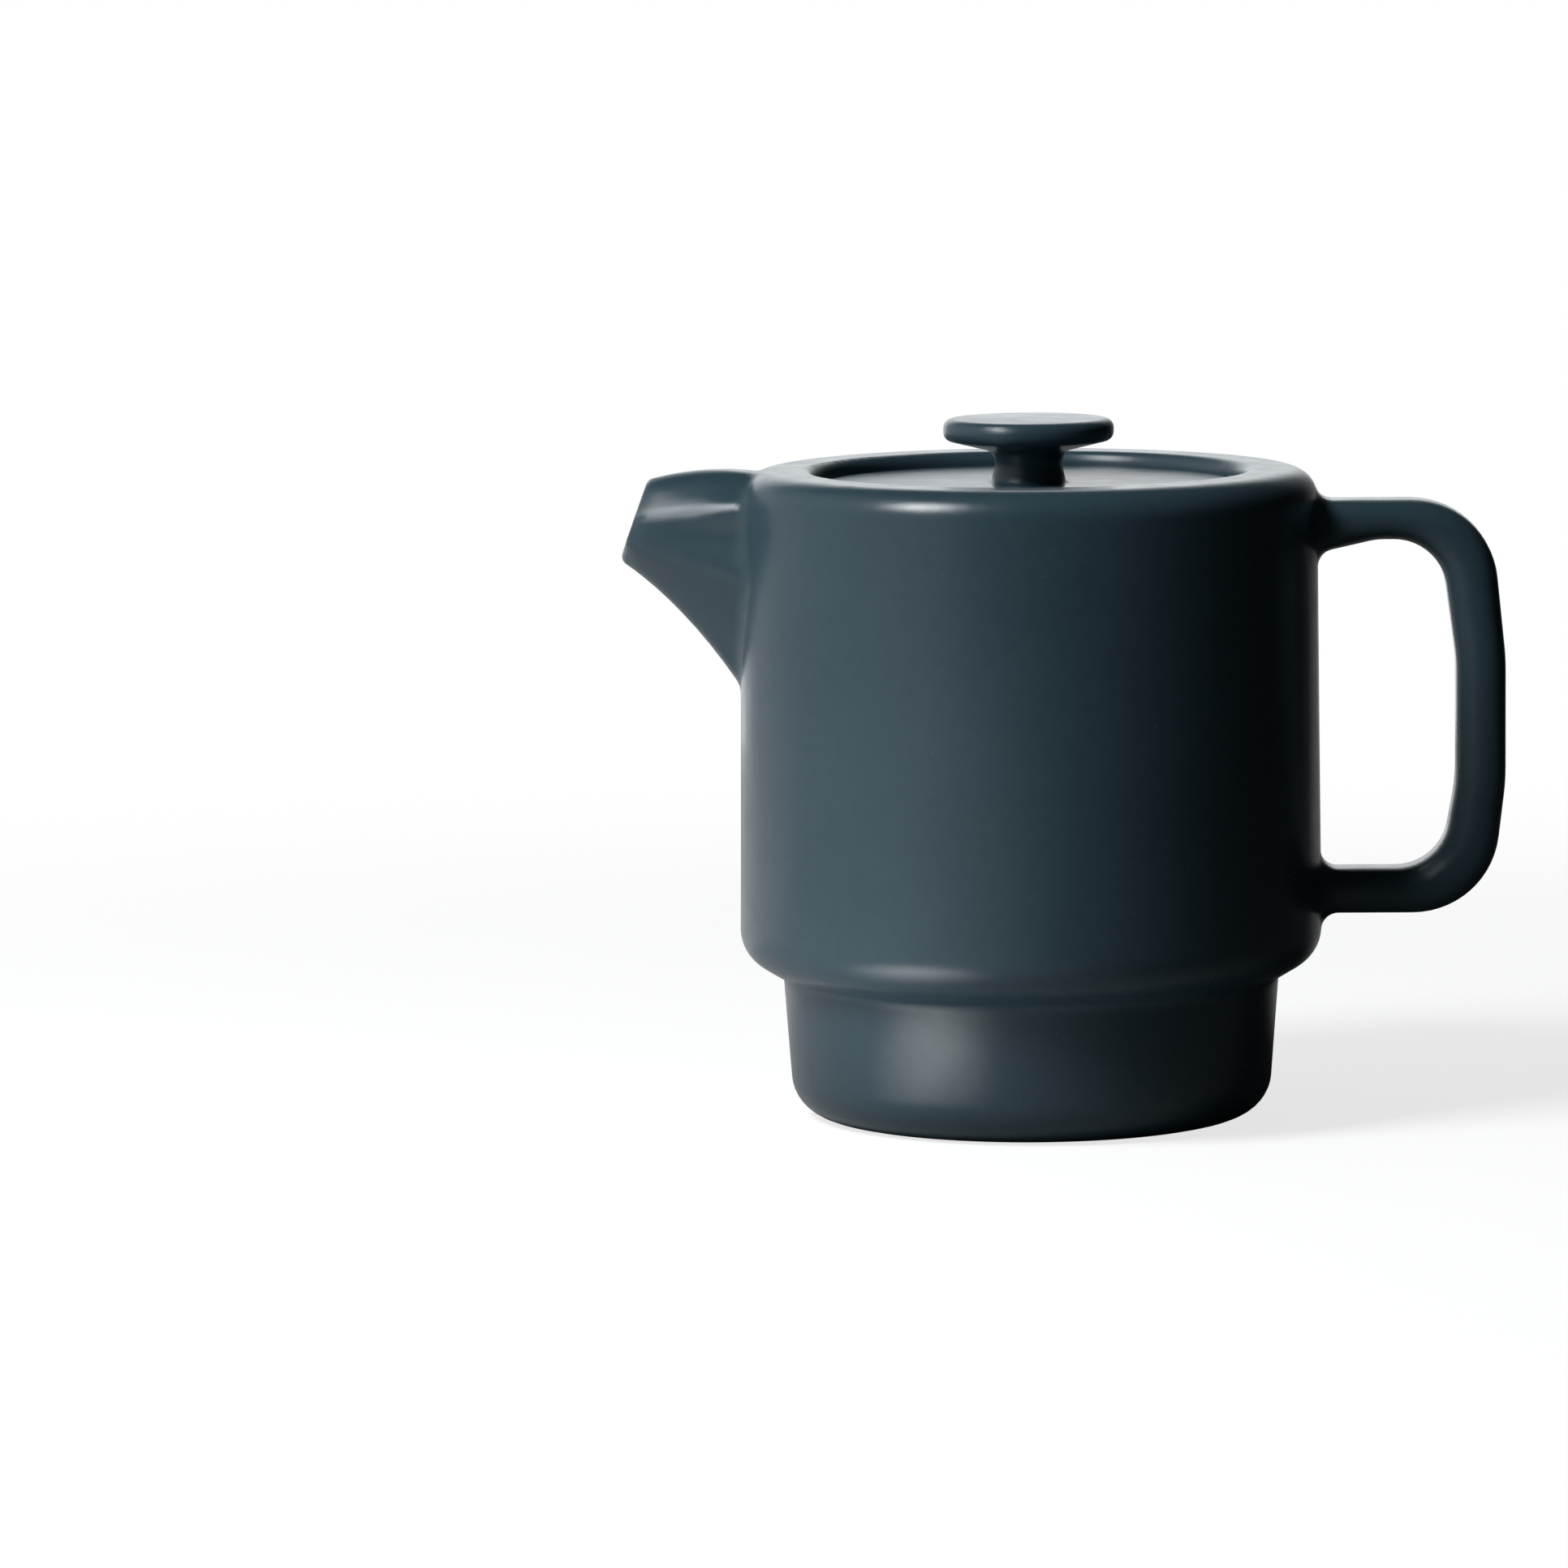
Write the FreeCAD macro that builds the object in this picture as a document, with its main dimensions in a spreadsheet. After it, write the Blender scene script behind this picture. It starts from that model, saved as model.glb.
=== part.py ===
import FreeCAD, Part
import math
import os
import Sketcher

# A stoneware teapot: one fired piece holds the drum, spout and handle, and a lid rests in its rim.
# Millimetres. +Z is up, the origin is the middle of the foot on the table, the spout points to -X.

DRIVING_SIZES = {
    # drum, foot and rim, as radii about the upright axis and heights above the table
    "rim_height": 112.3,
    "drum_radius_top": 49.8,
    "drum_taper": 0.65,
    "shoulder_round": 5.0,
    "drum_low_round": 7.0,
    "underside_angle": 31.0,
    "underside_step": 7.45,
    "crease_height": 24.2,
    "crease_round": 1.2,
    "foot_taper": 1.8,
    "foot_round": 7.3,
    "foot_ring_width": 10.7,
    "foot_recess_depth": 1.5,
    "foot_recess_round": 1.2,
    # wall of the drum, and the hollow inside
    "wall": 4.6,
    "floor_thickness": 5.0,
    "inner_floor_round": 5.0,
    "inner_crease_round": 4.0,
    "inner_low_round": 3.0,
    "inner_shoulder_round": 5.0,
    "seat_width": 4.2,
    "seat_round": 0.6,
    "seat_thickness": 5.0,
    "seat_slope_drop": 4.5,
    "throat_round": 2.0,
    # recess in the rim that the lid sits in
    "rim_width": 12.6,
    "gallery_round": 1.8,
    # lid and knob
    "lid_recess": 2.3,
    "lid_thickness": 4.0,
    "lid_gap": 0.5,
    "lid_edge_round": 1.6,
    "lid_under_round": 0.8,
    "flange_gap": 0.7,
    "flange_wall": 3.0,
    "flange_depth": 8.0,
    "flange_draft": 0.5,
    "flange_round": 1.1,
    "stem_base_radius": 6.5,
    "stem_base_round": 0.6,
    "stem_waist_radius": 5.85,
    "stem_waist_rise": 2.8,
    "stem_waist_round": 5.0,
    "knob_radius": 14.75,
    "knob_rise": 11.0,
    "knob_edge_height": 3.5,
    "knob_edge_round": 1.6,
    "knob_under_drop": 2.2,
    "knob_under_round": 2.2,
    "knob_dome": 0.3,
    "vent_diameter": 3.0,
    "vent_offset": 22.0,
    # how deep the roots of the spout and the handle sink into the wall of the drum
    "root_sink": 3.2,
    # spout: half widths across, and drops below the rim, at its root and at its lip
    "spout_length": 21.2,
    "spout_bend_length": 11.2,
    "root_crest_drop": 0.35,
    "bend_crest_drop": 0.45,
    "spout_tip_drop": 16.0,
    "mouth_overrun": 2.2,
    "mouth_cut_run": 24.0,
    "spout_wall": 2.8,
    "spout_keel_wall": 4.0,
    "crest_inset_share": 0.4,
    "keel_inset_share": 0.3,
    "root_ridge_drop": 4.9,
    "root_ridge_half": 12.5,
    "root_valley_drop": 11.0,
    "root_valley_half": 11.6,
    "root_side_drop": 18.5,
    "root_side_half": 13.8,
    "root_keel_drop": 42.7,
    "bend_keel_drop": 23.6,
    "lip_crest_drop": 3.9,
    "lip_ridge_drop": 8.3,
    "lip_ridge_half": 5.6,
    "lip_valley_drop": 9.3,
    "lip_valley_half": 5.75,
    "lip_side_drop": 11.0,
    "lip_side_half": 6.2,
    "lip_keel_drop": 13.8,
    "root_crest_half": 4.5,
    "root_keel_half": 3.5,
    "lip_crest_half": 2.3,
    "lip_keel_half": 1.6,
    "root_crest_round": 9.0,
    "lip_crest_round": 3.5,
    "root_side_round": 5.0,
    "lip_side_round": 1.8,
    "root_ridge_round": 2.8,
    "lip_ridge_round": 2.0,
    "root_valley_round": 6.0,
    "lip_valley_round": 1.5,
    "keel_round": 2.6,
    "channel_round": 1.2,
    "mouth_slant": 19.5,
    "mouth_round": 1.7,
    "spout_root_round": 3.5,
    # strainer pierced through the drum wall behind the spout
    "strainer_hole_diameter": 3.2,
    "strainer_pitch": 5.0,
    "strainer_rows": 4,
    "strainer_top_drop": 16.5,
    "strainer_start_depth": 11.0,
    "strainer_overrun": 0.4,
    # handle: lengths out from the drum, and drops below the rim
    "handle_length": 32.4,
    "handle_width": 12.0,
    "handle_edge_round": 3.1,
    "handle_top_drop": 5.5,
    "handle_bottom_height": 35.1,
    "upper_arm_thickness": 6.8,
    "lower_arm_thickness": 7.7,
    "grip_thickness": 8.5,
    "grip_bow": 2.8,
    "grip_bow_upper_share": 0.704,
    "grip_bow_lower_share": 0.155,
    "grip_bow_round": 40.0,
    "handle_outer_round": 15.0,
    "handle_inner_round": 9.2,
    "arm_flare_drop": 3.0,
    "arm_flare_share": 0.85,
    "arm_flare_round": 12.0,
    "handle_root_round": 3.0,
}

RIM = "sizes.rim_height"
LID_TOP = "(sizes.rim_height - sizes.lid_recess)"
SEAT = "(%s - sizes.lid_thickness)" % LID_TOP
DRUM_RADIUS = "sizes.drum_radius_top"
LOW_RADIUS = "(sizes.drum_radius_top + sizes.drum_taper)"
CREASE_RADIUS = "(%s - sizes.underside_step)" % LOW_RADIUS
FOOT_RADIUS = "(%s - sizes.foot_taper)" % CREASE_RADIUS
RING_RADIUS = "(%s - sizes.foot_ring_width)" % FOOT_RADIUS
GALLERY_RADIUS = "(%s - sizes.rim_width)" % DRUM_RADIUS
THROAT_RADIUS = "(%s - sizes.seat_width)" % GALLERY_RADIUS
DRUM_LOW = "(sizes.crease_height + sizes.underside_step * tan(sizes.underside_angle))"
FLOOR = "(sizes.foot_recess_depth + sizes.floor_thickness)"
# an inside corner of the sloping underside lies this much higher than the outside one
CORNER_RISE = "(sizes.wall * (1 - sin(sizes.underside_angle)) / cos(sizes.underside_angle))"
# the spout and the handle start inside the wall of the drum
ROOT_REACH = "(sizes.drum_radius_top - sizes.root_sink)"
SPOUT_REACH = "(sizes.drum_radius_top + sizes.spout_length)"
BEND_REACH = "(sizes.drum_radius_top + sizes.spout_bend_length)"
LIP_REACH = "(%s + sizes.mouth_overrun)" % SPOUT_REACH

# an edge this close to a skin lies on it, in mm, and one that turns by less is already smooth
ON_SKIN = 1e-3
SMOOTH_ANGLE = 8.0


def make_sheet(doc):
    """Write every driving size into one sheet, a row each, with its name as the alias."""
    sheet = doc.addObject("Spreadsheet::Sheet", "sizes")
    for row, (alias, number) in enumerate(DRIVING_SIZES.items(), start=1):
        sheet.set("A%d" % row, alias)
        sheet.set("B%d" % row, str(number))
        sheet.setAlias("B%d" % row, alias)
    doc.recompute()
    return sheet


def origin_plane(body, role):
    """Find one of a body's own origin planes by its role, such as XZ_Plane."""
    for feature in body.Origin.OriginFeatures:
        if feature.Role == role:
            return feature
    raise ValueError("no plane %s" % role)


def new_sketch(body, name, role, offset=None):
    """Start a sketch on an origin plane, moved along the plane's normal by an expression."""
    sketch = body.newObject("Sketcher::SketchObject", name)
    sketch.AttachmentSupport = [(origin_plane(body, role), "")]
    sketch.MapMode = "FlatFace"
    if offset:
        sketch.setExpression("AttachmentOffset.Base.z", offset)
    return sketch


def corner_arc(before, corner, after, radius):
    """Give the two tangent points and the centre of the arc that rounds a corner."""
    incoming = (corner - before).normalize()
    outgoing = (after - corner).normalize()
    turn = incoming.getAngle(outgoing)
    reach = radius * math.tan(turn / 2)
    first = corner - incoming * reach
    last = corner + outgoing * reach
    left = incoming.cross(outgoing).z > 0
    inward = FreeCAD.Vector(-incoming.y, incoming.x, 0) * (1 if left else -1)
    return first, last, first + inward * radius, left


def draw_outline(sketch, corners):
    """Draw a closed outline of lines through named corners, each sharp or rounded.

    A corner is its name, its two coordinates and its radius, all as expressions. The radius
    may be left out. Each coordinate and radius becomes a named constraint bound to the sheet.
    """
    count = len(corners)
    points = [FreeCAD.Vector(sketch.evalExpression(corner[1]), sketch.evalExpression(corner[2]), 0)
              for corner in corners]
    starts = list(points)
    ends = list(points)
    arcs = {}
    for index, corner in enumerate(corners):
        if len(corner) < 4:
            continue
        radius = sketch.evalExpression(corner[3])
        arcs[index] = corner_arc(points[index - 1], points[index], points[(index + 1) % count], radius)
        ends[index] = arcs[index][0]
        starts[index] = arcs[index][1]
    for index in range(count):
        sketch.addGeometry(Part.LineSegment(starts[index], ends[(index + 1) % count]), False)
    for index, corner in enumerate(corners):
        previous = (index - 1) % count
        held = (index, 1)
        if index in arcs:
            arc_id, point_id = round_corner(sketch, previous, index, points[index], arcs[index])
            bind(sketch, "Radius", (arc_id,), corner[0] + "_round", corner[3])
            held = (point_id, 1)
        else:
            sketch.addConstraint(Sketcher.Constraint("Coincident", previous, 2, index, 1))
        bind(sketch, "DistanceX", held, corner[0] + "_across", corner[1])
        bind(sketch, "DistanceY", held, corner[0] + "_up", corner[2])


def round_corner(sketch, previous, following, corner, arc):
    """Add a corner's arc and its construction point, and tie both to the two lines."""
    first, last, centre, left = arc
    start, end = (first, last) if left else (last, first)
    from_angle = math.atan2(start.y - centre.y, start.x - centre.x)
    to_angle = math.atan2(end.y - centre.y, end.x - centre.x)
    if to_angle < from_angle:
        to_angle += 2 * math.pi
    circle = Part.Circle(centre, FreeCAD.Vector(0, 0, 1), (first - centre).Length)
    arc_id = sketch.addGeometry(Part.ArcOfCircle(circle, from_angle, to_angle), False)
    point_id = sketch.addGeometry(Part.Point(corner), True)
    near, far = (1, 2) if left else (2, 1)
    sketch.addConstraint(Sketcher.Constraint("Tangent", previous, 2, arc_id, near))
    sketch.addConstraint(Sketcher.Constraint("Tangent", arc_id, far, following, 1))
    sketch.addConstraint(Sketcher.Constraint("PointOnObject", point_id, 1, previous))
    sketch.addConstraint(Sketcher.Constraint("PointOnObject", point_id, 1, following))
    return arc_id, point_id


def bind(sketch, kind, held, name, expression):
    """Add a named constraint whose value is an expression of the sheet."""
    number = float(sketch.evalExpression(expression))
    index = sketch.addConstraint(Sketcher.Constraint(kind, *held, number))
    sketch.renameConstraint(index, name)
    sketch.setExpression("Constraints." + name, expression)


def lies_on(edge, skin):
    """Say whether an edge lies on a surface all along."""
    first, last = edge.ParameterRange
    for part in (0.1, 0.37, 0.63, 0.9):
        vertex = Part.Vertex(edge.valueAt(first + (last - first) * part))
        if skin.distToShape(vertex)[0] > ON_SKIN:
            return False
    return True


def is_sharp(shape, edge):
    """Say whether the two faces beside an edge meet at an angle."""
    first, last = edge.ParameterRange
    point = edge.valueAt((first + last) / 2)
    normals = []
    for face in shape.ancestorsOfType(edge, Part.Face):
        place = face.Surface.parameter(point)
        normals.append(face.normalAt(*place))
    return len(normals) == 2 and math.degrees(normals[0].getAngle(normals[1])) > SMOOTH_ANGLE


def skin_of(feature):
    """The skin of the form that a feature adds or cuts away."""
    skin = Part.Compound(feature.AddSubShape.Shells)
    skin.Placement = feature.Placement
    return skin


def round_edges(body, name, base, skins, radius, avoid=None, side=0):
    """Round a feature's sharp edges that lie on every given skin and not on the one to avoid.

    A side of 1 takes only the edges on the handle's side of the axis, and -1 those on the spout's.
    """
    names = []
    for number, edge in enumerate(base.Shape.Edges, start=1):
        if side and side * edge.CenterOfMass.x < ON_SKIN:
            continue
        if not is_sharp(base.Shape, edge):
            continue
        if avoid and lies_on(edge, avoid):
            continue
        if all(lies_on(edge, skin) for skin in skins):
            names.append("Edge%d" % number)
    if not names:
        raise ValueError("%s finds no edge" % name)
    fillet = body.newObject("PartDesign::Fillet", name)
    fillet.Base = (base, names)
    fillet.setExpression("Radius", radius)
    body.Document.recompute()
    if not fillet.isValid():
        raise ValueError("%s fails" % name)
    return fillet


def revolve(body, kind, name, sketch):
    """Turn an outline a full turn about the upright axis, to add or to cut."""
    feature = body.newObject(kind, name)
    feature.Profile = sketch
    feature.ReferenceAxis = (sketch, ["V_Axis"])
    feature.Angle = 360
    body.Document.recompute()
    return feature


def loft(body, kind, name, sketches):
    """Blend smoothly through cross-sections, to add or to cut."""
    feature = body.newObject(kind, name)
    feature.Profile = (sketches[0], [""])
    feature.Sections = [(sketch, [""]) for sketch in sketches[1:]]
    feature.Ruled = False
    body.Document.recompute()
    return feature


def between(root, lip, place):
    """A size part of the way from its value at the spout's root to that at its lip."""
    return "(%s) + ((%s) - (%s)) * (%s)" % (root, lip, root, place)


def spout_section(body, name, reach, crest_drop, keel_drop, wall, keel_wall, rounds):
    """Draw the spout's cross-section at a reach: crest, ridges, sides and keel, set in by a wall."""
    place = "((%s) - (%s)) / ((%s) - (%s))" % (reach, ROOT_REACH, LIP_REACH, ROOT_REACH)
    corner_rounds = [between(*pair, place) for pair in rounds]
    crest_round, ridge_round, valley_round, side_round, keel_round = corner_rounds
    crest = "sizes.rim_height - (%s) - (%s)" % (crest_drop, wall)
    crest_half = between("sizes.root_crest_half", "sizes.lip_crest_half", place)
    crest_half = "%s - sizes.crest_inset_share * (%s)" % (crest_half, wall)
    ridge = "sizes.rim_height - (%s)" % between("sizes.root_ridge_drop", "sizes.lip_ridge_drop", place)
    ridge_half = "%s - (%s)" % (between("sizes.root_ridge_half", "sizes.lip_ridge_half", place), wall)
    valley = "sizes.rim_height - (%s)" % between("sizes.root_valley_drop", "sizes.lip_valley_drop", place)
    valley_half = "%s - (%s)" % (between("sizes.root_valley_half", "sizes.lip_valley_half", place), wall)
    side = "sizes.rim_height - (%s)" % between("sizes.root_side_drop", "sizes.lip_side_drop", place)
    side_half = "%s - (%s)" % (between("sizes.root_side_half", "sizes.lip_side_half", place), wall)
    keel = "sizes.rim_height - (%s) + (%s)" % (keel_drop, keel_wall)
    keel_half = between("sizes.root_keel_half", "sizes.lip_keel_half", place)
    keel_half = "%s - sizes.keel_inset_share * (%s)" % (keel_half, wall)
    sketch = new_sketch(body, name, "YZ_Plane", "-(%s)" % reach)
    draw_outline(sketch, [
        ("near_crest", "-(%s)" % crest_half, crest, crest_round),
        ("near_ridge", "-(%s)" % ridge_half, ridge, ridge_round),
        ("near_valley", "-(%s)" % valley_half, valley, valley_round),
        ("near_side", "-(%s)" % side_half, side, side_round),
        ("near_keel", "-(%s)" % keel_half, keel, keel_round),
        ("far_keel", keel_half, keel, keel_round),
        ("far_side", side_half, side, side_round),
        ("far_valley", valley_half, valley, valley_round),
        ("far_ridge", ridge_half, ridge, ridge_round),
        ("far_crest", crest_half, crest, crest_round),
    ])
    return sketch


def spout_sections(body, name, wall, keel_wall, rounds):
    """Draw the three cross-sections of the spout, or of the channel in it."""
    return [
        spout_section(body, name + "_root", ROOT_REACH, "sizes.root_crest_drop", "sizes.root_keel_drop",
                      wall, keel_wall, rounds),
        spout_section(body, name + "_bend", BEND_REACH, "sizes.bend_crest_drop",
                      "sizes.bend_keel_drop", wall, keel_wall, rounds),
        spout_section(body, name + "_lip", LIP_REACH, "sizes.lip_crest_drop", "sizes.lip_keel_drop",
                      wall, keel_wall, rounds),
    ]


def add_spout(body):
    """Model the spout: outside, slanting mouth, channel, and the mouth's rounded rim."""
    outside_rounds = (("sizes.root_crest_round", "sizes.lip_crest_round"),
                      ("sizes.root_ridge_round", "sizes.lip_ridge_round"),
                      ("sizes.root_valley_round", "sizes.lip_valley_round"),
                      ("sizes.root_side_round", "sizes.lip_side_round"),
                      ("sizes.keel_round", "sizes.keel_round"))
    outside = loft(body, "PartDesign::AdditiveLoft", "spout_outside",
                   spout_sections(body, "spout", "0", "0", outside_rounds))
    mouth_sketch = new_sketch(body, "mouth_side_view", "XZ_Plane")
    tip = "(sizes.rim_height - sizes.spout_tip_drop)"
    lean = "(sizes.mouth_cut_run * tan(sizes.mouth_slant))"
    beyond = "-(%s + %s + sizes.mouth_cut_run)" % (SPOUT_REACH, lean)
    draw_outline(mouth_sketch, [
        ("low", "-(%s + %s)" % (SPOUT_REACH, lean), "%s - sizes.mouth_cut_run" % tip),
        ("high", "-(%s - %s)" % (SPOUT_REACH, lean), "%s + sizes.mouth_cut_run" % tip),
        ("far_high", beyond, "%s + sizes.mouth_cut_run" % tip),
        ("far_low", beyond, "%s - sizes.mouth_cut_run" % tip),
    ])
    mouth = body.newObject("PartDesign::Pocket", "mouth_cut")
    mouth.Profile = mouth_sketch
    mouth.Type = "ThroughAll"
    mouth.SideType = "Symmetric"
    body.Document.recompute()
    round_edges(body, "mouth_rounding", mouth, [skin_of(mouth), skin_of(outside)], "sizes.mouth_round")
    channel_rounds = (("sizes.channel_round", "sizes.channel_round"),) * 5
    loft(body, "PartDesign::SubtractiveLoft", "spout_channel",
         spout_sections(body, "channel", "sizes.spout_wall", "sizes.spout_keel_wall", channel_rounds))
    return outside


def add_drum(body):
    """Turn the outside of the foot, underside, drum and rim as one solid."""
    sketch = new_sketch(body, "drum_outline", "XZ_Plane")
    draw_outline(sketch, [
        ("axis_low", "0", "sizes.foot_recess_depth"),
        ("recess", RING_RADIUS, "sizes.foot_recess_depth", "sizes.foot_recess_round"),
        ("ring", "%s + sizes.foot_recess_depth" % RING_RADIUS, "0"),
        ("foot", FOOT_RADIUS, "0", "sizes.foot_round"),
        ("crease", CREASE_RADIUS, "sizes.crease_height", "sizes.crease_round"),
        ("drum_low", LOW_RADIUS, DRUM_LOW, "sizes.drum_low_round"),
        ("shoulder", DRUM_RADIUS, RIM, "sizes.shoulder_round"),
        ("axis_high", "0", RIM),
    ])
    return revolve(body, "PartDesign::Revolution", "drum_outside", sketch)


def add_handle(body):
    """Model the handle: a bowed grip and two arms cut from one outline, with rounded edges."""
    sketch = new_sketch(body, "handle_side_view", "XZ_Plane")
    root = ROOT_REACH
    top = "(sizes.rim_height - sizes.handle_top_drop)"
    under_top = "(%s - sizes.upper_arm_thickness)" % top
    bottom = "sizes.handle_bottom_height"
    over_bottom = "(%s + sizes.lower_arm_thickness)" % bottom
    outer = "(%s + sizes.handle_length)" % DRUM_RADIUS
    inner = "(%s - sizes.grip_thickness)" % outer
    straight_low = "%s + sizes.handle_inner_round" % over_bottom
    straight_high = "%s - sizes.handle_inner_round" % under_top
    high_bend = between(straight_low, straight_high, "sizes.grip_bow_upper_share")
    low_bend = between(straight_low, straight_high, "sizes.grip_bow_lower_share")
    arm_clear = "(sizes.handle_length - sizes.grip_thickness - sizes.grip_bow - sizes.handle_inner_round)"
    flare_end = "%s + sizes.arm_flare_share * %s" % (DRUM_RADIUS, arm_clear)
    bow_round = "sizes.grip_bow_round"
    draw_outline(sketch, [
        ("arm_low_root", root, bottom),
        ("outer_low", "%s - sizes.grip_bow" % outer, bottom, "sizes.handle_outer_round"),
        ("outer_low_bend", outer, low_bend, bow_round),
        ("outer_high_bend", outer, high_bend, bow_round),
        ("outer_high", "%s - sizes.grip_bow" % outer, top, "sizes.handle_outer_round"),
        ("arm_high_root", root, top),
        ("arm_high_under", root, "%s - sizes.arm_flare_drop" % under_top),
        ("arm_flare", flare_end, under_top, "sizes.arm_flare_round"),
        ("inner_high", "%s - sizes.grip_bow" % inner, under_top, "sizes.handle_inner_round"),
        ("inner_high_bend", inner, high_bend, "%s - sizes.grip_thickness" % bow_round),
        ("inner_low_bend", inner, low_bend, "%s - sizes.grip_thickness" % bow_round),
        ("inner_low", "%s - sizes.grip_bow" % inner, over_bottom, "sizes.handle_inner_round"),
        ("arm_low_over", root, over_bottom),
    ])
    handle = body.newObject("PartDesign::Pad", "handle")
    handle.Profile = sketch
    handle.SideType = "Symmetric"
    handle.setExpression("Length", "sizes.handle_width")
    body.Document.recompute()
    return handle


def add_hollow(body):
    """Cut the hollow of the pot: floor, wall, throat, and the stepped seat for the lid."""
    sketch = new_sketch(body, "hollow_outline", "XZ_Plane")
    throat_low = "(%s - sizes.seat_thickness)" % SEAT
    above = "(%s + sizes.wall)" % RIM
    draw_outline(sketch, [
        ("floor_axis", "0", FLOOR),
        ("floor_edge", "%s - sizes.wall" % FOOT_RADIUS, FLOOR, "sizes.inner_floor_round"),
        ("inner_crease", "%s - sizes.wall" % CREASE_RADIUS, "sizes.crease_height + %s" % CORNER_RISE,
         "sizes.inner_crease_round"),
        ("inner_low", "%s - sizes.wall" % LOW_RADIUS, "%s + %s" % (DRUM_LOW, CORNER_RISE),
         "sizes.inner_low_round"),
        ("inner_high", "%s - sizes.wall" % DRUM_RADIUS, "%s - sizes.seat_slope_drop" % throat_low,
         "sizes.inner_shoulder_round"),
        ("throat_low", THROAT_RADIUS, throat_low, "sizes.throat_round"),
        ("seat_in", THROAT_RADIUS, SEAT, "sizes.seat_round"),
        ("seat_out", GALLERY_RADIUS, SEAT, "sizes.seat_round"),
        ("gallery_high", GALLERY_RADIUS, above),
        ("above_axis", "0", above),
    ])
    return revolve(body, "PartDesign::Groove", "hollow", sketch)


def add_strainer(body):
    """Pierce a triangle of holes through the drum wall, from the hollow into the spout."""
    start = "(sizes.drum_radius_top - sizes.strainer_start_depth)"
    sketch = new_sketch(body, "strainer_holes", "YZ_Plane", "-%s" % start)
    for row in range(DRIVING_SIZES["strainer_rows"]):
        count = DRIVING_SIZES["strainer_rows"] - row
        up = "%s - sizes.strainer_top_drop - %d * sizes.strainer_pitch * sin(60)" % (RIM, row)
        for hole in range(count):
            across = "%.1f * sizes.strainer_pitch" % (hole - (count - 1) / 2)
            centre = FreeCAD.Vector(sketch.evalExpression(across), sketch.evalExpression(up), 0)
            radius = sketch.evalExpression("sizes.strainer_hole_diameter / 2")
            circle = sketch.addGeometry(Part.Circle(centre, FreeCAD.Vector(0, 0, 1), radius), False)
            label = "hole_%d_%d" % (row + 1, hole + 1)
            bind(sketch, "Diameter", (circle,), label + "_bore", "sizes.strainer_hole_diameter")
            bind(sketch, "DistanceX", (circle, 3), label + "_across", across)
            bind(sketch, "DistanceY", (circle, 3), label + "_up", up)
    strainer = body.newObject("PartDesign::Pocket", "strainer")
    strainer.Profile = sketch
    strainer.setExpression("Length", "%s + sizes.strainer_overrun - %s" % (LOW_RADIUS, start))
    body.Document.recompute()
    return strainer


def make_pot(doc):
    """Build the pot, one solid: spout, drum and handle, then the hollow and the strainer."""
    body = doc.addObject("PartDesign::Body", "teapot_body")
    body.Label = "teapot_body"
    spout = add_spout(body)
    drum = add_drum(body)
    handle = add_handle(body)
    drum_skin = skin_of(drum)
    edges = round_edges(body, "handle_rounding", handle, [skin_of(handle)], "sizes.handle_edge_round",
                        drum_skin, 1)
    roots = round_edges(body, "handle_root_rounding", edges, [drum_skin], "sizes.handle_root_round", None, 1)
    round_edges(body, "spout_root_rounding", roots, [drum_skin, skin_of(spout)], "sizes.spout_root_round",
                None, -1)
    hollow = add_hollow(body)
    round_edges(body, "gallery_rounding", hollow, [drum_skin, skin_of(hollow)], "sizes.gallery_round")
    add_strainer(body)
    return body


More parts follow.
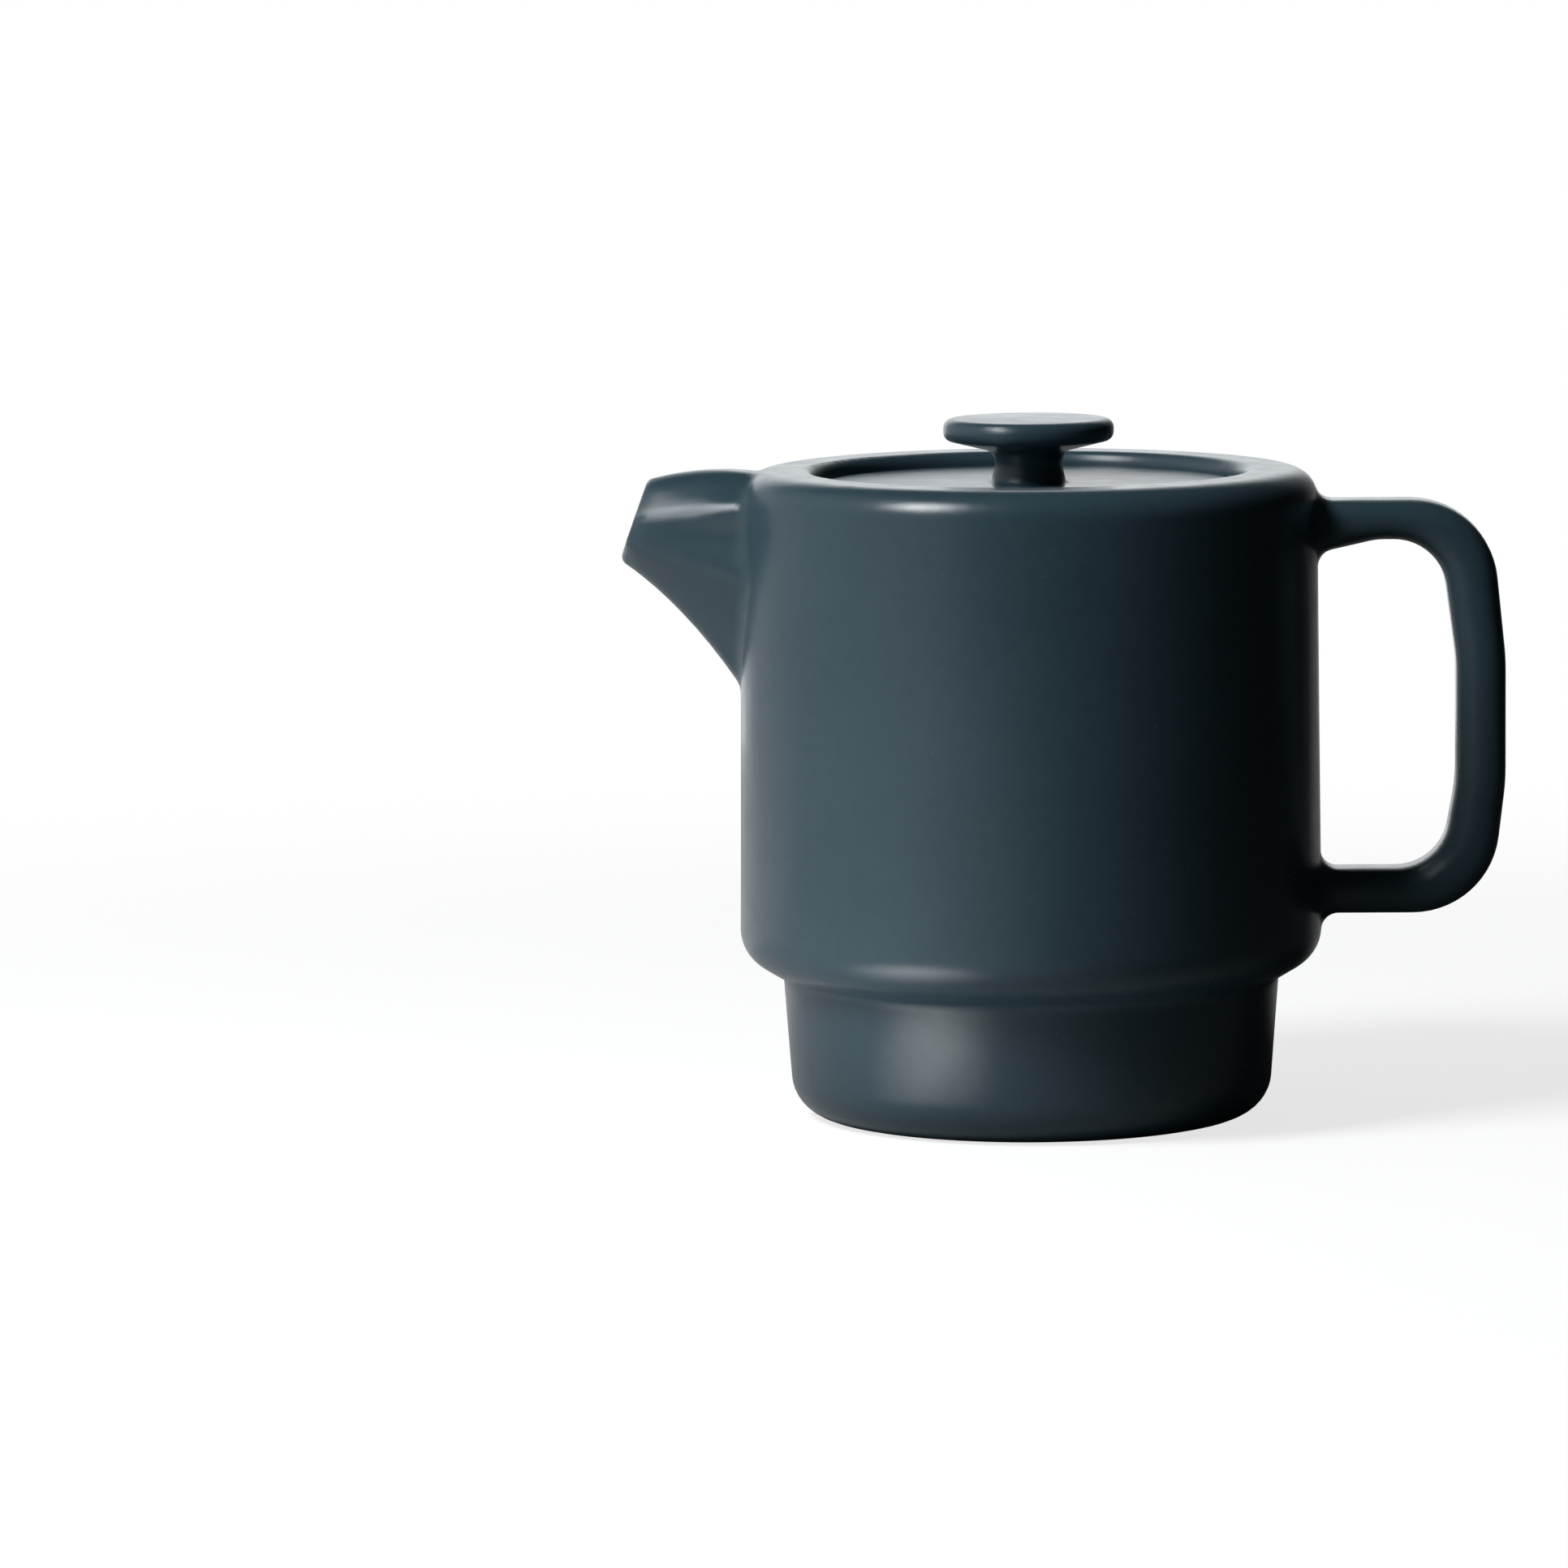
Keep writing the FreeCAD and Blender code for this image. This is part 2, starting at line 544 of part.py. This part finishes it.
def make_lid(doc):
    """Build the lid, one solid: disc, knob and the flange that drops into the throat."""
    body = doc.addObject("PartDesign::Body", "teapot_lid")
    body.Label = "teapot_lid"
    sketch = new_sketch(body, "lid_outline", "XZ_Plane")
    edge = "(%s - sizes.lid_gap)" % GALLERY_RADIUS
    flange = "(%s - sizes.flange_gap)" % THROAT_RADIUS
    flange_tip = "(%s - sizes.flange_depth)" % SEAT
    knob_top = "(%s + sizes.knob_rise)" % LID_TOP
    knob_low = "(%s - sizes.knob_edge_height)" % knob_top
    draw_outline(sketch, [
        ("under_axis", "0", SEAT),
        ("flange_in_root", "%s - sizes.flange_wall" % flange, SEAT, "sizes.flange_round"),
        ("flange_in_tip", "%s - sizes.flange_wall" % flange, flange_tip, "sizes.flange_round"),
        ("flange_out_tip", "%s - sizes.flange_draft" % flange, flange_tip, "sizes.flange_round"),
        ("flange_out_root", flange, SEAT),
        ("lid_under", edge, SEAT, "sizes.lid_under_round"),
        ("lid_edge", edge, LID_TOP, "sizes.lid_edge_round"),
        ("stem_base", "sizes.stem_base_radius", LID_TOP, "sizes.stem_base_round"),
        ("stem_waist", "sizes.stem_waist_radius", "%s + sizes.stem_waist_rise" % LID_TOP,
         "sizes.stem_waist_round"),
        ("knob_under", "sizes.stem_waist_radius", "%s - sizes.knob_under_drop" % knob_low,
         "sizes.knob_under_round"),
        ("knob_low_edge", "sizes.knob_radius", knob_low, "sizes.knob_edge_round"),
        ("knob_high_edge", "sizes.knob_radius", knob_top, "sizes.knob_edge_round"),
        ("knob_axis", "0", "%s + sizes.knob_dome" % knob_top),
    ])
    revolve(body, "PartDesign::Revolution", "lid_and_knob", sketch)
    vent = new_sketch(body, "vent_hole", "XY_Plane", LID_TOP)
    centre = FreeCAD.Vector(0, vent.evalExpression("sizes.vent_offset"), 0)
    radius = vent.evalExpression("sizes.vent_diameter / 2")
    circle = vent.addGeometry(Part.Circle(centre, FreeCAD.Vector(0, 0, 1), radius), False)
    bind(vent, "Diameter", (circle,), "vent_bore", "sizes.vent_diameter")
    bind(vent, "DistanceX", (circle, 3), "vent_across", "0")
    bind(vent, "DistanceY", (circle, 3), "vent_offset", "sizes.vent_offset")
    drill = body.newObject("PartDesign::Pocket", "vent")
    drill.Profile = vent
    drill.setExpression("Length", "sizes.lid_thickness + sizes.wall")
    doc.recompute()
    return body


def check(doc, bodies):
    """Stop if anything in the document has failed, or a cut has taken nothing away."""
    for item in doc.Objects:
        if "Invalid" in item.State or "Error" in item.State:
            raise ValueError("%s is not built: %s" % (item.Name, item.State))
    for cut in ("mouth_cut", "spout_channel", "hollow", "strainer", "vent"):
        feature = doc.getObject(cut)
        if feature.BaseFeature.Shape.Volume - feature.Shape.Volume < 1.0:
            raise ValueError("%s cuts nothing" % cut)
    for body in bodies:
        if body.Shape.isNull() or not body.Shape.isValid() or len(body.Shape.Solids) != 1:
            raise ValueError("%s is not one sound solid" % body.Label)


def main():
    doc = FreeCAD.newDocument("teapot")
    make_sheet(doc)
    bodies = [make_pot(doc), make_lid(doc)]
    doc.recompute()
    check(doc, bodies)
    os.makedirs("parts", exist_ok=True)
    for body in bodies:
        body.Shape.exportStep("parts/%s.step" % body.Label)
        print(body.Label, round(body.Shape.Volume), body.Shape.BoundBox)


main()
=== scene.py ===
import bpy
import math
from mathutils import Matrix, Vector

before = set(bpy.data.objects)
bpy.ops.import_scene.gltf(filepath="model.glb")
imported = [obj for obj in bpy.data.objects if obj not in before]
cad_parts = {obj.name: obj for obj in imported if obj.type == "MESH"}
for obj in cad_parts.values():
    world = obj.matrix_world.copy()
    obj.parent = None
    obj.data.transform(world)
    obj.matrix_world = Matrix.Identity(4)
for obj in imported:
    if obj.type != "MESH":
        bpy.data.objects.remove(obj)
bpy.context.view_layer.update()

# The photograph's view, fitted to the outlines of the drum, rim and foot. Metres and degrees.
CAMERA_DISTANCE = 1.630
CAMERA_ELEVATION = 6.7
CAMERA_ROLL = -0.45
CAMERA_AIM_HEIGHT = 0.055
IMAGE_WIDTH = 1932
PIXELS_PER_METRE = 7100
AXIS_PIXEL = (1271.3, 985.3)
SENSOR_WIDTH = 36.0
CLIP = (0.05, 50)


def add_camera():
    """Put the camera at the photograph's place and turn it so that the pot's axis falls on its pixel."""
    focal = PIXELS_PER_METRE * CAMERA_DISTANCE
    elevation = math.radians(CAMERA_ELEVATION)
    aside = math.atan((AXIS_PIXEL[0] - IMAGE_WIDTH / 2) / focal)
    down = math.atan((AXIS_PIXEL[1] - IMAGE_WIDTH / 2) / focal)
    pitch = down - elevation
    level = Vector((-math.sin(aside), math.cos(aside), 0))
    forward = level * math.cos(pitch) + Vector((0, 0, math.sin(pitch)))
    right = Vector((math.cos(aside), math.sin(aside), 0))
    up = right.cross(forward)
    roll = math.radians(CAMERA_ROLL)
    right, up = right * math.cos(roll) + up * math.sin(roll), up * math.cos(roll) - right * math.sin(roll)
    data = bpy.data.cameras.new("camera")
    data.sensor_width = SENSOR_WIDTH
    data.lens = focal * SENSOR_WIDTH / IMAGE_WIDTH
    data.clip_start, data.clip_end = CLIP
    camera = bpy.data.objects.new("camera", data)
    camera.matrix_world = Matrix((
        (right.x, up.x, -forward.x, 0),
        (right.y, up.y, -forward.y, -CAMERA_DISTANCE * math.cos(elevation)),
        (right.z, up.z, -forward.z, CAMERA_AIM_HEIGHT + CAMERA_DISTANCE * math.sin(elevation)),
        (0, 0, 0, 1)))
    bpy.context.scene.collection.objects.link(camera)
    bpy.context.scene.camera = camera


def nodes_of(material):
    """Empty a material's node tree and give the tree and a function that adds a node to it."""
    material.use_nodes = True
    tree = material.node_tree
    tree.nodes.clear()

    def add(kind, **settings):
        node = tree.nodes.new(kind)
        for key, value in settings.items():
            setattr(node, key, value)
        return node

    return tree, add


def noise(tree, add, coordinates, scale, detail=2.0, roughness=0.5):
    """A noise texture over the object, with its scale in features per metre."""
    node = add("ShaderNodeTexNoise")
    node.inputs["Scale"].default_value = scale
    node.inputs["Detail"].default_value = detail
    node.inputs["Roughness"].default_value = roughness
    tree.links.new(coordinates, node.inputs["Vector"])
    return node.outputs["Fac"]


def steps(tree, add, value, first, last):
    """A ramp from a value to a colour or a grey, between two stops of (place, colour)."""
    node = add("ShaderNodeValToRGB")
    for element, stop in zip(node.color_ramp.elements, (first, last)):
        element.position, element.color = stop
    tree.links.new(value, node.inputs["Fac"])
    return node.outputs["Color"]


def grey(level):
    return (level, level, level, 1)


def mix(tree, add, share, first, second):
    """Mix two colours by a share, each a socket or a plain colour."""
    node = add("ShaderNodeMix", data_type="RGBA")
    for socket, value in (("Factor", share), ("A", first), ("B", second)):
        spot = [s for s in node.inputs if s.name == socket and (s.type == "RGBA" or socket == "Factor")][0]
        if isinstance(value, (tuple, float)):
            spot.default_value = value
        else:
            tree.links.new(value, spot)
    return [s for s in node.outputs if s.type == "RGBA"][0]


def maths(tree, add, operation, *values):
    """One arithmetic step on sockets and numbers."""
    node = add("ShaderNodeMath", operation=operation)
    for spot, value in zip(node.inputs, values):
        if isinstance(value, (int, float)):
            spot.default_value = value
        else:
            tree.links.new(value, spot)
    return node.outputs[0]


def product(tree, add, *values):
    """The product of two or more sockets and numbers."""
    result = values[0]
    for value in values[1:]:
        result = maths(tree, add, "MULTIPLY", result, value)
    return result


def between(tree, add, value, span):
    """A smooth step from 0 to 1 as a value goes from one end of a span to the other."""
    node = add("ShaderNodeMapRange", interpolation_type="SMOOTHSTEP")
    node.inputs["From Min"].default_value, node.inputs["From Max"].default_value = span
    tree.links.new(value, node.inputs["Value"])
    return node.outputs["Result"]


# Colours of the glaze and the clay under it.
GLAZE = (0.034, 0.065, 0.083, 1)
GLAZE_DEEP = (0.030, 0.058, 0.075, 1)
GLAZE_THIN = (0.054, 0.090, 0.109, 1)
FLECK = (0.30, 0.36, 0.38, 1)
CLAY = (0.52, 0.45, 0.36, 1)
CLAY_DARK = (0.42, 0.35, 0.27, 1)

# The glaze's patterns, as features per metre, and how far each shows.
DRIFT_SCALE = 28
MOTTLE_SCALE = 420
MOTTLE_SHARE = 0.16
THIN_EDGES = (0.52, 0.60)
THIN_SHARE = 0.55
FLECK_SCALE = 95
FLECK_CHOSEN = 0.93
FLECK_REACH = 0.045
FLECK_SHARE = 0.45
GRAIN_SCALE = 1800
SATIN_SCALE = 160
SATIN_ROUGHNESS = (0.22, 0.28)
CLAY_ROUGHNESS = 0.85
PEEL_SCALE = 620
PEEL_SHARE = 0.2
PITS_SCALE = 95
BUMP_STRENGTH = 0.10
BUMP_DEPTH = 0.0006
GLAZE_IOR = 1.5

# Bare clay shows on faces that look down, below these heights: the foot's ring and the flange's end.
POT_BARE_BELOW = 0.0003
LID_BARE_BELOW = 0.0985
LOOKS_DOWN = -0.9

# Glaze rounds edges within the first distance, and by the second more on the spout and the handle,
# which lie further from the pot's axis than the drum.
EDGE_SOFTNESS = 0.002
ARM_SOFTNESS = 0.0025
BEYOND_DRUM = (0.0515, 0.058)
EDGE_SAMPLES = 4


def glaze_material(name, bare_below):
    """A satin slate-blue stoneware glaze, paler on edges, with bare clay under the given height."""
    material = bpy.data.materials.new(name)
    tree, add = nodes_of(material)
    place = add("ShaderNodeTexCoord").outputs["Object"]
    geometry = add("ShaderNodeNewGeometry")

    drift = noise(tree, add, place, DRIFT_SCALE, 3)
    drift = steps(tree, add, drift, (0.35, GLAZE_DEEP), (0.65, GLAZE))
    mottle = noise(tree, add, place, MOTTLE_SCALE, 4, 0.6)
    mottle = steps(tree, add, mottle, (0.35, grey(0)), (0.80, grey(MOTTLE_SHARE)))
    colour = mix(tree, add, mottle, drift, GLAZE_THIN)
    start, end = THIN_EDGES
    edges = steps(tree, add, geometry.outputs["Pointiness"], (start, grey(0)), (end, grey(THIN_SHARE)))
    colour = mix(tree, add, edges, colour, GLAZE_THIN)

    cells = add("ShaderNodeTexVoronoi", feature="F1", distance="EUCLIDEAN")
    cells.inputs["Scale"].default_value = FLECK_SCALE
    tree.links.new(place, cells.inputs["Vector"])
    picked = maths(tree, add, "GREATER_THAN", cells.outputs["Color"], FLECK_CHOSEN)
    near = maths(tree, add, "LESS_THAN", cells.outputs["Distance"], FLECK_REACH)
    colour = mix(tree, add, product(tree, add, picked, near, FLECK_SHARE), colour, FLECK)

    split = add("ShaderNodeSeparateXYZ")
    tree.links.new(place, split.inputs["Vector"])
    facing = add("ShaderNodeSeparateXYZ")
    tree.links.new(geometry.outputs["Normal"], facing.inputs["Vector"])
    low = maths(tree, add, "LESS_THAN", split.outputs["Z"], bare_below)
    down = maths(tree, add, "LESS_THAN", facing.outputs["Z"], LOOKS_DOWN)
    bare = product(tree, add, low, down)
    grain = noise(tree, add, place, GRAIN_SCALE, 3, 0.7)
    grain = steps(tree, add, grain, (0.35, CLAY_DARK), (0.65, CLAY))
    colour = mix(tree, add, bare, colour, grain)

    smooth, matt = SATIN_ROUGHNESS
    satin = noise(tree, add, place, SATIN_SCALE, 3)
    satin = steps(tree, add, satin, (0.25, grey(smooth)), (0.75, grey(matt)))
    rough = mix(tree, add, bare, satin, grey(CLAY_ROUGHNESS))

    soft = add("ShaderNodeBevel")
    soft.samples = EDGE_SAMPLES
    aside = between(tree, add, maths(tree, add, "ABSOLUTE", split.outputs["X"]), BEYOND_DRUM)
    radius = maths(tree, add, "MULTIPLY_ADD", aside, ARM_SOFTNESS, EDGE_SOFTNESS)
    tree.links.new(radius, soft.inputs["Radius"])
    peel = product(tree, add, noise(tree, add, place, PEEL_SCALE, 2), PEEL_SHARE)
    height = maths(tree, add, "ADD", peel, noise(tree, add, place, PITS_SCALE, 2))
    bump = add("ShaderNodeBump")
    bump.inputs["Strength"].default_value = BUMP_STRENGTH
    bump.inputs["Distance"].default_value = BUMP_DEPTH
    tree.links.new(soft.outputs["Normal"], bump.inputs["Normal"])
    tree.links.new(height, bump.inputs["Height"])

    shader = add("ShaderNodeBsdfPrincipled")
    shader.inputs["IOR"].default_value = GLAZE_IOR
    tree.links.new(colour, shader.inputs["Base Color"])
    tree.links.new(rough, shader.inputs["Roughness"])
    tree.links.new(bump.outputs["Normal"], shader.inputs["Normal"])
    output = add("ShaderNodeOutputMaterial")
    tree.links.new(shader.outputs["BSDF"], output.inputs["Surface"])
    return material


def dress(node, material):
    """Give a CAD node its material."""
    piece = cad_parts[node]
    piece.data.materials.clear()
    piece.data.materials.append(material)


# The floor is a disc. For the camera it fades into the white between these two radii.
FLOOR_RADIUS = 0.60
FLOOR_SIDES = 96
FLOOR_FADE = (0.16, 0.54)
# The camera sees it lifted towards white, so that the shadow on it is faint.
FLOOR_SEEN = 0.36
FLOOR_LIFT = 0.76
# To all else it is pale, and darker on the handle's side of the pot, between these two X: painted shade,
# standing in for the pot's shadow on the floor.
FLOOR_PALE = 0.75
FLOOR_PAINTED_SHADE = 0.06
FLOOR_PAINTED_SHADE_FROM = (-0.12, 0.10)
# A painted pool of light on it, a glow that all but the camera see, in front of the foot on the spout's
# side, makes the streak on the foot.
POOL_PLACE = (-0.062, -0.080, 0)
POOL_RADIUS = 0.050
POOL_LIGHT = 4.8
# Behind the pot, the floor glows faintly with painted light, and the room glows too, as far out to the
# handle's side as the first number of these spans, in parts of the way back. This makes the pale band down
# the drum's edge by the handle.
GLOW_LIGHT = 0.30
GLOW_FLOOR = (0.80, 0.15)
GLOW_FLOOR_FROM_X = 0.05
GLOW_FLOOR_BACK = (0.06, 0.14)
GLOW_FLOOR_NEAREST = 0.01
GLOW_ROOM = (0.62, 0.15)
GLOW_ROOM_BACK = (0.5, 0.8)
# The backdrop fades in towards +Y, and out above it and on the handle's side, in parts of a direction.
BACKDROP_SIDE = (0.80, 0.93)
BACKDROP_TOP = (0.60, 0.35)
BACKDROP_END = (0.26, 0.05)
BACKDROP_LIGHT = 1.15
# A pale wall stands on the spout's side.
WALL_AZIMUTH = -84
WALL_EDGE = (0.33, 0.83)
WALL_LIGHT = 0.52
ROOM_LIGHT = 0.01
ROOM_COLOUR = (0.95, 0.98, 1.0, 1)
# The middle of the pot's height, which the lamp faces.
LAMP_AIM = (0, 0, 0.06)


def add_floor():
    """A pale round floor that catches the shadow and fades into the white backdrop."""
    mesh = bpy.data.meshes.new("floor")
    turns = [2 * math.pi * i / FLOOR_SIDES for i in range(FLOOR_SIDES)]
    ring = [(FLOOR_RADIUS * math.cos(turn), FLOOR_RADIUS * math.sin(turn), 0) for turn in turns]
    mesh.from_pydata(ring, [], [list(range(FLOOR_SIDES))])
    floor = bpy.data.objects.new("floor", mesh)
    bpy.context.scene.collection.objects.link(floor)
    material = bpy.data.materials.new("pale_floor")
    mesh.materials.append(material)
    tree, add = nodes_of(material)
    place = add("ShaderNodeTexCoord").outputs["Object"]
    split = add("ShaderNodeSeparateXYZ")
    tree.links.new(place, split.inputs["Vector"])
    for_camera = add("ShaderNodeLightPath").outputs["Is Camera Ray"]

    # Painted shade: the floor's colour darkens towards the handle's side, for all but the camera.
    painted_shade_side = between(tree, add, split.outputs["X"], FLOOR_PAINTED_SHADE_FROM)
    colour = mix(tree, add, painted_shade_side, grey(FLOOR_PALE), grey(FLOOR_PAINTED_SHADE))
    colour = mix(tree, add, for_camera, colour, grey(FLOOR_SEEN))
    matt = add("ShaderNodeBsdfDiffuse")
    tree.links.new(colour, matt.inputs["Color"])

    # Painted light: a glowing pool in the floor, not lit by any lamp.
    from_pool = add("ShaderNodeVectorMath", operation="DISTANCE")
    tree.links.new(place, from_pool.inputs[0])
    from_pool.inputs[1].default_value = POOL_PLACE
    pool = between(tree, add, from_pool.outputs["Value"], (POOL_RADIUS, 0.0))
    # Painted light: a faint glow in the floor behind the pot, seen by all but the camera.
    back = maths(tree, add, "MAXIMUM", split.outputs["Y"], GLOW_FLOOR_NEAREST)
    aside = maths(tree, add, "SUBTRACT", split.outputs["X"], GLOW_FLOOR_FROM_X)
    aside = maths(tree, add, "DIVIDE", aside, back)
    glow = product(tree, add, between(tree, add, aside, GLOW_FLOOR), GLOW_LIGHT,
                   between(tree, add, split.outputs["Y"], GLOW_FLOOR_BACK))
    light = maths(tree, add, "MULTIPLY_ADD", pool, POOL_LIGHT, glow)
    light = product(tree, add, light, maths(tree, add, "SUBTRACT", 1.0, for_camera))
    light = maths(tree, add, "MULTIPLY_ADD", for_camera, FLOOR_LIFT, light)
    lift = add("ShaderNodeEmission")
    lift.inputs["Color"].default_value = grey(1.0)
    tree.links.new(light, lift.inputs["Strength"])
    lit = add("ShaderNodeAddShader")
    tree.links.new(matt.outputs["BSDF"], lit.inputs[0])
    tree.links.new(lift.outputs["Emission"], lit.inputs[1])

    length = add("ShaderNodeVectorMath", operation="LENGTH")
    tree.links.new(place, length.inputs[0])
    fade = add("ShaderNodeMapRange", interpolation_type="SMOOTHERSTEP")
    fade.inputs["From Min"].default_value, fade.inputs["From Max"].default_value = FLOOR_FADE
    tree.links.new(length.outputs["Value"], fade.inputs["Value"])
    clear = add("ShaderNodeBsdfTransparent")
    blend = add("ShaderNodeMixShader")
    tree.links.new(product(tree, add, fade.outputs["Result"], for_camera), blend.inputs["Fac"])
    tree.links.new(lit.outputs["Shader"], blend.inputs[1])
    tree.links.new(clear.outputs["BSDF"], blend.inputs[2])
    output = add("ShaderNodeOutputMaterial")
    tree.links.new(blend.outputs["Shader"], output.inputs["Surface"])


def add_world():
    """White for the camera. All else sees a dim room with one light wall and a backdrop behind the pot."""
    world = bpy.data.worlds.new("studio")
    bpy.context.scene.world = world
    tree, add = nodes_of(world)
    direction = add("ShaderNodeSeparateXYZ")
    tree.links.new(add("ShaderNodeTexCoord").outputs["Generated"], direction.inputs["Vector"])
    x, y, z = (direction.outputs[axis] for axis in "XYZ")

    below_top = between(tree, add, z, BACKDROP_TOP)
    backdrop = product(tree, add, between(tree, add, y, BACKDROP_SIDE), below_top,
                       between(tree, add, x, BACKDROP_END))
    glow = product(tree, add, between(tree, add, x, GLOW_ROOM), GLOW_LIGHT,
                   between(tree, add, y, GLOW_ROOM_BACK), below_top)
    turn = math.radians(WALL_AZIMUTH)
    towards = maths(tree, add, "MULTIPLY_ADD", y, -math.cos(turn), product(tree, add, x, math.sin(turn)))
    wall = between(tree, add, towards, WALL_EDGE)
    strength = maths(tree, add, "MULTIPLY_ADD", wall, WALL_LIGHT, ROOM_LIGHT)
    strength = maths(tree, add, "MULTIPLY_ADD", backdrop, BACKDROP_LIGHT, strength)
    strength = maths(tree, add, "ADD", strength, glow)

    room = add("ShaderNodeBackground")
    room.inputs["Color"].default_value = ROOM_COLOUR
    tree.links.new(strength, room.inputs["Strength"])
    white = add("ShaderNodeBackground")
    white.inputs["Color"].default_value = grey(1.0)
    white.inputs["Strength"].default_value = 1.0
    blend = add("ShaderNodeMixShader")
    tree.links.new(add("ShaderNodeLightPath").outputs["Is Camera Ray"], blend.inputs["Fac"])
    tree.links.new(room.outputs["Background"], blend.inputs[1])
    tree.links.new(white.outputs["Background"], blend.inputs[2])
    output = add("ShaderNodeOutputWorld")
    tree.links.new(blend.outputs["Shader"], output.inputs["Surface"])


def add_softbox(name, azimuth, elevation, distance, size, power, colour):
    """A rectangular light that faces the pot. Azimuth 0 is the camera's side and -90 the spout's."""
    turn, rise = math.radians(azimuth), math.radians(elevation)
    away = Vector((math.sin(turn) * math.cos(rise), -math.cos(turn) * math.cos(rise), math.sin(rise)))
    data = bpy.data.lights.new(name, "AREA")
    data.shape = "RECTANGLE"
    data.size, data.size_y = size
    data.energy = power
    data.color = colour
    lamp = bpy.data.objects.new(name, data)
    lamp.location = Vector(LAMP_AIM) + away * distance
    lamp.rotation_mode = "QUATERNION"
    lamp.rotation_quaternion = away.to_track_quat("Z", "Y")
    bpy.context.scene.collection.objects.link(lamp)


add_camera()
dress("teapot_body", glaze_material("pot_glaze", POT_BARE_BELOW))
dress("teapot_lid", glaze_material("lid_glaze", LID_BARE_BELOW))
add_floor()
add_world()
add_softbox("key", azimuth=-52, elevation=47, distance=1.0, size=(0.28, 0.34), power=7.8,
            colour=(0.97, 0.99, 1.0))
bpy.context.scene.view_settings.view_transform = "Standard"
